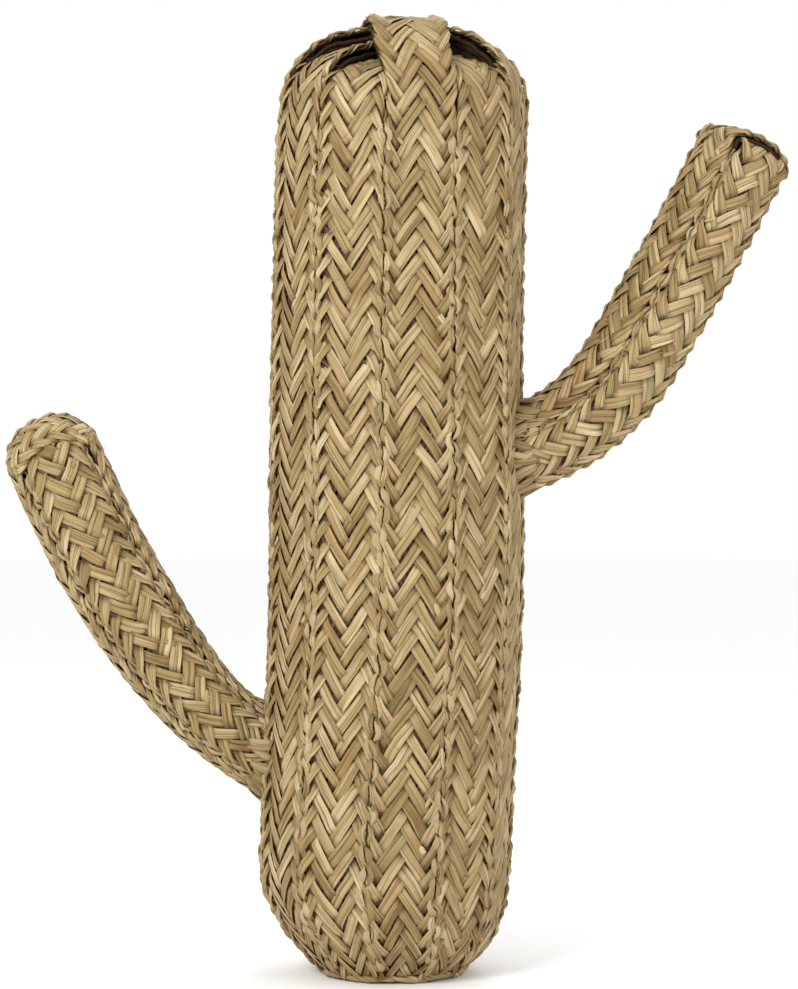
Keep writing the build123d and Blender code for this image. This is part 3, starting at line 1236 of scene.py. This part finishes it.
@dataclass
class Trunk:
    """The trunk: five long plaits, ten laced seams and the straw inside."""

    leaf: bpy.types.Material
    lacing: bpy.types.Material
    straw: bpy.types.Material
    shape: TrunkShape = field(default_factory=TrunkShape)
    plait_width: float = 0.0690
    strands: int = 11
    seam_sampling: float = 0.0022
    seam_inset: float = 0.0007
    seam_wavering: float = 0.0015
    cord_radius: float = 0.0015
    cord_lay: float = 0.013
    loop_pitch: float = 0.0167
    loop_rise: float = 0.0026
    crown_inset: float = 0.0018
    core_inset: float = 0.0042
    core_seed: int = 7
    stalks: int = 160
    stalk_reach: float = 0.088
    layers: tuple[StrawLayer, ...] = (
        StrawLayer(13, 0.0031, -0.0024, 0.0237, 0.0014),
        StrawLayer(6, 0.0078, -0.0050, 0.0187, 0.0006),
        StrawLayer(2, 0.0017, -0.0008, 0.0277, 0.0003),
    )

    def arches(self) -> dict[str, Arch]:
        """The arch of each trunk plait, by node name."""
        shape, top = self.shape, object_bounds()[1][2] - self.crown_inset
        first, sector = shape.first_band, shape.sector
        return {
            "trunk_plait_1": Arch(shape, first, top - 0.0040, shoulder=0.058, crown=0.190, shift=-0.006),
            "trunk_plait_2": Arch(shape, first + 2 * sector, top - 0.0105, shoulder=0.062, crown=0.190),
            "trunk_plait_3": Arch(shape, first + 3 * sector, top - 0.023, shoulder=0.045, crown=0.190),
            "trunk_plait_4": Arch(shape, first + 6 * sector, top - 0.030, shoulder=0.032, crown=0.200),
            "trunk_plait_5": Arch(shape, first + 4 * sector, top - 0.035, shoulder=0.031, crown=0.200),
        }

    def build_plaits(self) -> None:
        """Weaves the five plaits."""
        for number, (name, arch) in enumerate(self.arches().items()):
            plait = Plait(arch.bed(), self.strands, self.plait_width, seed=20 + number)
            plait.weave(name, self.leaf)

    def build_seams(self) -> None:
        """Laces the ten seams between neighbouring bands."""
        shape = self.shape
        for number in range(1, shape.bands + 1):
            node = f"trunk_seam_cord_{number:02d}"
            lacer = Lacer(60 + number)
            low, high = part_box(node)[0][2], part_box(node)[1][2]
            z = np.arange(low, high, self.seam_sampling)
            even = shape.first_band + (number - 0.5) * shape.sector
            angle = math.radians(even) + shape.crowding(even)[0] + shape.twist(z)
            angle = angle + self.seam_wavering / shape.radius * wander(lacer.rng, z, 0.035)
            radius = shape.wall_radius(z) + shape.swell(z) - self.seam_inset
            radius = radius + 0.0008 * wander(lacer.rng, z, 0.026)
            radial = np.stack([np.sin(angle), -np.cos(angle), np.zeros_like(z)], axis=1)
            path = radial * radius[:, None] + z[:, None] * UP
            path[:, 0] += shape.sway(z)
            basket = Basket(lacer.rng)
            lacer.twist(basket, path, radial, self.cord_radius, self.cord_lay)
            raised = path + radial * self.loop_rise
            lacer.loops(basket, raised, radial, self.loop_pitch, half_width=0.0029, reach=0.0034)
            basket.piece(f"{node}_twist", self.lacing, Slot.LACING, node)

    def build_straw(self) -> None:
        """Makes the straw core, the loose stalks on its domed top and the straw under the straps."""
        radius, height, tilt = self.arches()["trunk_plait_5"].half()
        rng = np.random.default_rng(self.core_seed)
        r = np.maximum(radius - self.core_inset * np.cos(tilt), 0.0)
        z = height - self.core_inset * np.sin(tilt)
        self.build_straw_core(rng, r, z)
        crown = tilt > 0.0
        self.build_straw_stalks(rng, r[crown], z[crown])
        self.build_crown_straw(rng)

    def build_straw_core(self, rng: np.random.Generator, r: Array, z: Array) -> None:
        """Spins the straw core.

        Args:
            rng: random source for its rough surface.
            r: radius of its outline, from the foot to the middle of the crown.
            z: height of its outline.
        """
        picks = np.linspace(0, len(r) - 1, 90).astype(int)
        bm = bmesh.new()
        line = [bm.verts.new((r[pick], 0.0, z[pick])) for pick in picks]
        line.append(bm.verts.new((0.0, 0.0, z[-1])))
        line.insert(0, bm.verts.new((0.0, 0.0, z[0])))
        edges = [bm.edges.new(pair) for pair in zip(line, line[1:])]
        bmesh.ops.spin(
            bm, geom=line + edges, cent=(0, 0, 0), axis=(0, 0, 1), angle=2 * math.pi, steps=72, use_merge=True
        )
        bmesh.ops.remove_doubles(bm, verts=bm.verts, dist=1e-5)
        bmesh.ops.recalc_face_normals(bm, faces=bm.faces)
        for vert in bm.verts:
            vert.co.x += float(self.shape.sway(np.array([vert.co.z]))[0])
            vert.co -= vert.normal * rng.uniform(0.0, 0.0012)
        for face in bm.faces:
            face.smooth = True
        settle(as_object(bm, "trunk_straw_core"), self.straw, Slot.STRAW, "trunk_filling")

    def build_straw_stalks(self, rng: np.random.Generator, r: Array, z: Array) -> None:
        """Scatters loose stalks on the core's domed top.

        Args:
            rng: random source for their lie.
            r: radius of the dome, from its rim to its middle.
            z: height of the dome.
        """
        basket = Basket(rng)
        for _ in range(self.stalks):
            spot = 0.085 * math.sqrt(rng.random())
            turn, lie = rng.uniform(0, 2 * math.pi, 2)
            length = rng.uniform(0.02, 0.05)
            along = np.linspace(-0.5, 0.5, 6)
            x = spot * math.cos(turn) + along * length * math.cos(lie)
            y = spot * math.sin(turn) + along * length * math.sin(lie)
            out = np.hypot(x, y)
            rest = np.interp(out, r[::-1], z[::-1], left=z[-1])
            if out.max() >= self.stalk_reach:
                continue
            points = np.stack([x, y, rest + 0.0006 + rng.uniform(0.0, 0.0012)], axis=1)
            points[:, 0] += self.shape.sway(points[:, 2])
            half = np.full_like(x, rng.uniform(0.0006, 0.0014))
            tone, warm = np.full_like(x, rng.random() * 0.6), np.full_like(x, rng.random())
            basket.add(Run(points, np.tile(UP, (len(x), 1)), half, half * 0.4, tone, warm))
        basket.piece("trunk_straw_stalks", self.lacing, Slot.STRAW, "trunk_filling")

    def build_crown_straw(self, rng: np.random.Generator) -> None:
        """Packs straw, dark as painted shade, under the three highest straps, where they arch clear of the
        rest.

        Args:
            rng: random source for the lie of the straw.
        """
        basket = Basket(rng)
        for name in ("trunk_plait_1", "trunk_plait_2", "trunk_plait_3"):
            bed = self.arches()[name].bed()
            v = np.linspace(0.0, bed.length, 400)
            crown = v[bed.read(bed.outward, v)[:, 2] > 0.12]
            v = np.linspace(crown[0], crown[-1], 48)
            for layer in self.layers:
                for bundle in np.linspace(-layer.reach, layer.reach, layer.bundles):
                    u = np.full_like(v, bundle) + layer.swing * wander(rng, v, 0.06)
                    depth = layer.top - layer.half - 0.04 * abs(bundle) + 0.0009 * wander(rng, v, 0.04)
                    points, _, normal = bed.place(u, v, depth)
                    size = layer.half * (1.0 + 0.12 * wander(rng, v, 0.03))
                    basket.add(Run(points, normal, size, size, v * 0.0, v * 0.0, flat=False))
        # Straw filling that, in its near-black finish, also stands in for the shade of the hollows.
        basket.piece("trunk_crown_straw_painted_shade", self.straw, Slot.STRAW, "trunk_filling")

    def build(self) -> None:
        """Builds the whole trunk."""
        self.build_plaits()
        self.build_seams()
        self.build_straw()


@dataclass
class Foot:
    """The round coiled base and the lacing that ties the bands to it."""

    leaf: bpy.types.Material
    lacing: bpy.types.Material
    seed: int = 90
    outer: float = 0.0545
    inner: float = 0.004
    gap: float = 0.0074
    coil_z: float = 0.0043
    rim_radius: float = 0.0546
    rim_z: float = 0.0040

    def build_coil(self, lacer: Lacer) -> None:
        """Coils the base from its rim to its middle.

        Args:
            lacer: who twists it.
        """
        basket = Basket(lacer.rng)
        turns = (self.outer - self.inner) / self.gap
        angle = np.arange(0.0, 2.0 * math.pi * turns, 0.06)
        radius = self.outer - self.gap * angle / (2.0 * math.pi)
        keep = radius > self.inner
        angle, radius = angle[keep], radius[keep]
        height = np.full_like(angle, self.coil_z)
        path = np.stack([radius * np.cos(angle), radius * np.sin(angle), height], axis=1)
        lacer.twist(basket, path, np.tile(UP, (len(path), 1)), radius=0.0036, lay=0.024, plies=3)
        basket.piece("base_coil", self.leaf, Slot.BASE, "base_disc")

    def build_rim(self, lacer: Lacer) -> None:
        """Laces the rim with a slightly uneven ring.

        Args:
            lacer: who twists it.
        """
        basket = Basket(lacer.rng)
        ring = np.linspace(0.0, 2.0 * math.pi, 260)
        radius = self.rim_radius + 0.0008 * np.sin(ring * 9.0) + 0.0006 * np.sin(ring * 23.0 + 1.0)
        height = self.rim_z + 0.0005 * np.sin(ring * 7.0)
        path = np.stack([radius * np.cos(ring), radius * np.sin(ring), height], axis=1)
        lacer.twist(basket, path, np.tile(UP, (len(path), 1)), radius=0.0028, lay=0.026, plies=3)
        basket.piece("base_rim_lacing", self.lacing, Slot.LACING, "base_lacing")

    def build(self) -> None:
        """Builds the whole foot."""
        lacer = Lacer(self.seed)
        self.build_coil(lacer)
        self.build_rim(lacer)


@dataclass
class Arm:
    """One side arm: two plaits that cross over its tip, four laced seams, its root stitches and its straw.

    A plait that is flipped starts on the other side of the arm.
    """

    shape: ArmShape
    trunk: TrunkShape
    leaf: bpy.types.Material
    lacing: bpy.types.Material
    straw: bpy.types.Material
    seed: int
    flip: tuple[int, int] = (0, 0)
    strands: int = 9
    plait_width: float = 0.0650
    pitch: float = 0.0153
    strap_step: float = 0.0045
    seam_inset: float = 0.0020
    cord_radius: float = 0.0015
    cord_lay: float = 0.012
    loop_rise: float = 0.0006
    root_stitches: int = 34
    stitch_rise: float = 0.0012
    knee_rise: float = 0.0040
    core_inset: float = 0.0040
    cap_inset: float = 0.0045
    cap_side_inset: float = 0.0085
    tip_bundles: int = 13
    tip_reach: float = 0.0275

    def build_plaits(self) -> None:
        """Weaves the two plaits."""
        turn = self.shape.turn
        lies = {"outer": (turn - 90.0, 0.0, self.shape.forward), "inner": (turn, self.strap_step, 0.0)}
        for number, (which, (degrees, lower, forward)) in enumerate(lies.items()):
            bed = self.shape.bed(degrees + 180.0 * self.flip[number], lower, forward)
            plait = Plait(bed, self.strands, self.plait_width, seed=self.seed + number, pitch=self.pitch)
            plait.weave(f"{self.shape.name}_plait_{which}", self.leaf, frays=50)

    def beyond_trunk(self, points: Array, margin: float) -> Array:
        """Which points lie outside the trunk's wall by more than a margin."""
        x = points[:, 0] - self.trunk.sway(points[:, 2])
        return np.hypot(x, points[:, 1]) > self.trunk.radius + margin

    def build_seams(self) -> None:
        """Laces the four seams."""
        shape = self.shape
        for number in range(1, 5):
            node = f"{shape.name}_seam_cord_{number}"
            lacer = Lacer(self.seed + 10 + number)
            outward = shape.outward(shape.turn + 45.0 * (2 * number - 1))
            path = shape.path + outward * (shape.radii - self.seam_inset)[:, None]
            keep = self.beyond_trunk(path, -0.006)
            path, outward = path[keep], outward[keep]
            swing = np.cross(shape.tangent[keep], outward)
            path = path + swing * (0.0014 * wander(lacer.rng, shape.along[keep], 0.03))[:, None]
            basket = Basket(lacer.rng)
            lacer.twist(basket, path, outward, self.cord_radius, self.cord_lay)
            raised = path + outward * self.loop_rise
            lacer.loops(basket, raised, outward, self.pitch, half_width=0.0028, reach=0.0030)
            basket.piece(f"{node}_twist", self.lacing, Slot.LACING, node)

    def build_root(self) -> None:
        """Sews the arm to the trunk with a ring of slanted stitches."""
        shape = self.shape
        lacer = Lacer(self.seed + 30)
        basket = Basket(lacer.rng)
        rng = lacer.rng
        for degrees in np.arange(0.0, 360.0, 360.0 / self.root_stitches):
            start = degrees + rng.uniform(-3.0, 3.0)
            slant = rng.uniform(-16.0, 16.0)
            outward = shape.outward(start)
            wall = shape.path + outward * (shape.radii + 0.0016)[:, None]
            first = int(np.argmax(self.beyond_trunk(wall, 0.003)))
            reach = rng.integers(5, 12)
            high = shape.outward(start + slant)[first + reach]
            knee = shape.outward(start + slant * 0.4)[first + 1]
            low = shape.outward(start)[first]
            on_arm = shape.path[first + reach] + high * (shape.radii[first] + self.stitch_rise)
            corner = shape.path[first + 1] + knee * (shape.radii[first] + self.knee_rise)
            spread = rng.uniform(0.004, 0.008)
            on_trunk = shape.path[first] + low * (shape.radii[first] + spread)
            middle = float(self.trunk.sway(on_trunk[2:3])[0])
            flat = np.array([on_trunk[0] - middle, on_trunk[1]])
            flat = flat / np.linalg.norm(flat) * (self.trunk.radius + self.stitch_rise)
            on_trunk = np.array([flat[0] + middle, flat[1], on_trunk[2]])
            share = np.linspace(0.0, 1.0, 6)[:, None]
            points = (1 - share) ** 2 * on_arm + 2 * share * (1 - share) * corner + share**2 * on_trunk
            face = unit((1 - share) * high + share * np.array([flat[0], flat[1], 0.0]))
            lacer.stitch(basket, points, face, rng.uniform(0.0024, 0.0044))
        node = f"{shape.name}_root_lacing"
        basket.piece(f"{node}_stitches", self.lacing, Slot.LACING, node)

    def build_straw(self) -> None:
        """Makes the straw core: a straight tube that is bent along the arm and domed at its tip."""
        shape = self.shape
        picks = np.linspace(4, len(shape.path) - 1, 48).astype(int)
        reach, lift, tilt = shape.tip_profile()
        cap = np.linspace(0, len(reach) - 1, 9).astype(int)[1:]
        within = reach[cap] - self.cap_side_inset * np.cos(tilt[cap])
        shrink = np.clip(within / (shape.radius - self.cap_inset), 0.03, 1.0)
        ahead = lift[cap] - self.strap_step - self.cap_inset * np.sin(tilt[cap])
        bm = bmesh.new()
        draw_tube(bm, sides=28, stations=len(picks) + len(cap))
        rng = np.random.default_rng(self.seed + 50)
        for vert in bm.verts:
            station = int(round(vert.co.z))
            beyond = station - len(picks)
            pick = picks[min(station, len(picks) - 1)]
            lead, draw = (0.0, 1.0) if beyond < 0 else (ahead[beyond], shrink[beyond])
            tangent = shape.tangent[pick]
            across = np.cross(tangent, FRONT)
            radius = (shape.radii[pick] - self.core_inset - rng.uniform(0.0, 0.0010)) * draw
            spot = shape.path[pick] + tangent * lead
            spot = spot + (FRONT * vert.co.x - across * vert.co.y) * radius
            vert.co = Vector(spot)
        bmesh.ops.recalc_face_normals(bm, faces=bm.faces)
        for face in bm.faces:
            face.smooth = True
        node = f"{shape.name}_filling"
        settle(as_object(bm, f"{node}_core"), self.straw, Slot.STRAW, node)
        self.build_tip_straw(node)

    def build_tip_straw(self, node: str) -> None:
        """Packs straw, dark as painted shade, under the outer strap where it crosses the tip.

        Args:
            node: the CAD node of the arm's filling.
        """
        rng = np.random.default_rng(self.seed + 60)
        basket = Basket(rng)
        shape = self.shape
        bed = shape.bed(shape.turn - 90.0 + 180.0 * self.flip[0], 0.0, shape.forward)
        v = np.linspace(0.0, bed.length, 600)
        rise = bed.read(bed.outward, v) @ shape.tangent[-1]
        over = v[(rise > 0.05) & (np.abs(v - bed.length / 2.0) < 2.0 * shape.radius)]
        v = np.linspace(over[0], over[-1], 24)
        for bundle in np.linspace(-self.tip_reach, self.tip_reach, self.tip_bundles):
            u = np.full_like(v, bundle) + 0.0006 * wander(rng, v, 0.04)
            at_edge = abs(bundle) > 0.9 * self.tip_reach
            half = 0.0017 if at_edge else 0.0026
            size = half * (1.0 + 0.12 * wander(rng, v, 0.03))
            points, _, normal = bed.place(u, v, -0.0014 - 0.3 * half - size)
            basket.add(Run(points, normal, size, size, v * 0.0, v * 0.0, flat=False))
        # The straw takes the near-black finish: painted shade under the strap.
        basket.piece(f"{node}_tip_straw", self.straw, Slot.STRAW, node)

    def build(self) -> None:
        """Builds the whole arm."""
        self.build_plaits()
        self.build_seams()
        self.build_root()
        self.build_straw()


# ---------------------------------------------------------------- studio
@dataclass
class Studio:
    """Floor, lights and camera.

    The camera's eye is at a distance in front and a little to the right, and sees the view height of the
    object's middle plane from top to bottom.
    """

    distance: float = 2.2
    eye_height: float = 0.374
    eye_right: float = 0.0047
    view_height: float = 0.7744
    sensor: float = 36.0

    def build_floor(self) -> None:
        """Lays a wide pale floor."""
        bm = bmesh.new()
        bmesh.ops.create_circle(bm, cap_ends=True, segments=96, radius=14.0)
        floor = as_object(bm, "floor")
        floor.data.materials.append(PaleGround("pale_ground").make())
        bpy.context.scene.collection.objects.link(floor)
        floor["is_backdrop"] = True

    def build_light(self, name: str, place: tuple[float, float, float], size: float, power: float) -> None:
        """Hangs one square soft light that looks at the middle of the object."""
        data = bpy.data.lights.new(name, "AREA")
        data.shape, data.size, data.energy = "SQUARE", size, power
        lamp = bpy.data.objects.new(name, data)
        lamp.location = place
        aim = Vector((0.0, 0.0, self.eye_height)) - Vector(place)
        lamp.rotation_euler = aim.to_track_quat("-Z", "Y").to_euler()
        bpy.context.scene.collection.objects.link(lamp)

    def build_sky(self) -> None:
        """Sets an even pale surround."""
        world = bpy.data.worlds.new("surround")
        world.use_nodes = True
        world.node_tree.nodes["Background"].inputs["Color"].default_value = (1.0, 1.0, 1.0, 1.0)
        world.node_tree.nodes["Background"].inputs["Strength"].default_value = 1.0
        bpy.context.scene.world = world

    def build_camera(self) -> None:
        """Places the camera square to the front, level with the middle of the object."""
        data = bpy.data.cameras.new("camera")
        data.sensor_fit = "VERTICAL"
        data.sensor_height = self.sensor
        data.lens = self.sensor / 2.0 / (self.view_height / 2.0 / self.distance)
        camera = bpy.data.objects.new("camera", data)
        camera.location = (self.eye_right, -self.distance, self.eye_height)
        camera.rotation_euler = (math.pi / 2.0, 0.0, 0.0)
        bpy.context.scene.collection.objects.link(camera)
        bpy.context.scene.camera = camera

    def build(self) -> None:
        """Builds the studio."""
        bpy.context.scene.view_settings.view_transform = "Standard"
        self.build_floor()
        self.build_sky()
        self.build_light("key", (-1.2, -2.2, 1.9), 0.9, 44.0)
        self.build_light("fill", (1.9, -1.6, 1.0), 1.2, 8.0)
        self.build_light("rim", (0.6, 1.8, 2.2), 1.0, 10.0)
        self.build_camera()


def main() -> None:
    """Builds the cactus on its frame."""
    logging.basicConfig(level=logging.INFO, format="%(message)s")
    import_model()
    leaf = DryLeaf("dry_leaf").make()
    lacing = DryLeaf("lacing_leaf", shade=0.86).make()
    straw = StrawInPaintedShade("straw_in_painted_shade").make()
    trunk = Trunk(leaf, lacing, straw)
    trunk.build()
    Foot(leaf, lacing).build()
    left = ArmShape(
        "left_arm",
        side=-1,
        root=(-0.095, 0.168),
        heading=30.5,
        stretches=((0.0965, 51.5), (0.139, 64.1), (0.0630, 66.0)),
        radius=0.0364,
        root_radius=0.0290,
        turn=7.0,
        shoulder=0.026,
        crown=0.042,
        drape=0.042,
        forward=34.0,
        spread=0.20,
    )
    right = ArmShape(
        "right_arm",
        side=1,
        root=(0.0985, 0.4085),
        heading=19.0,
        stretches=((0.119, 59.5), (0.1785, 63.3)),
        radius=0.0350,
        root_radius=0.0315,
        turn=30.0,
    )
    Arm(left, trunk.shape, leaf, lacing, straw, seed=110, flip=(0, 1)).build()
    Arm(right, trunk.shape, leaf, lacing, straw, seed=140).build()
    Studio().build()


if __name__ == "__main__":
    main()
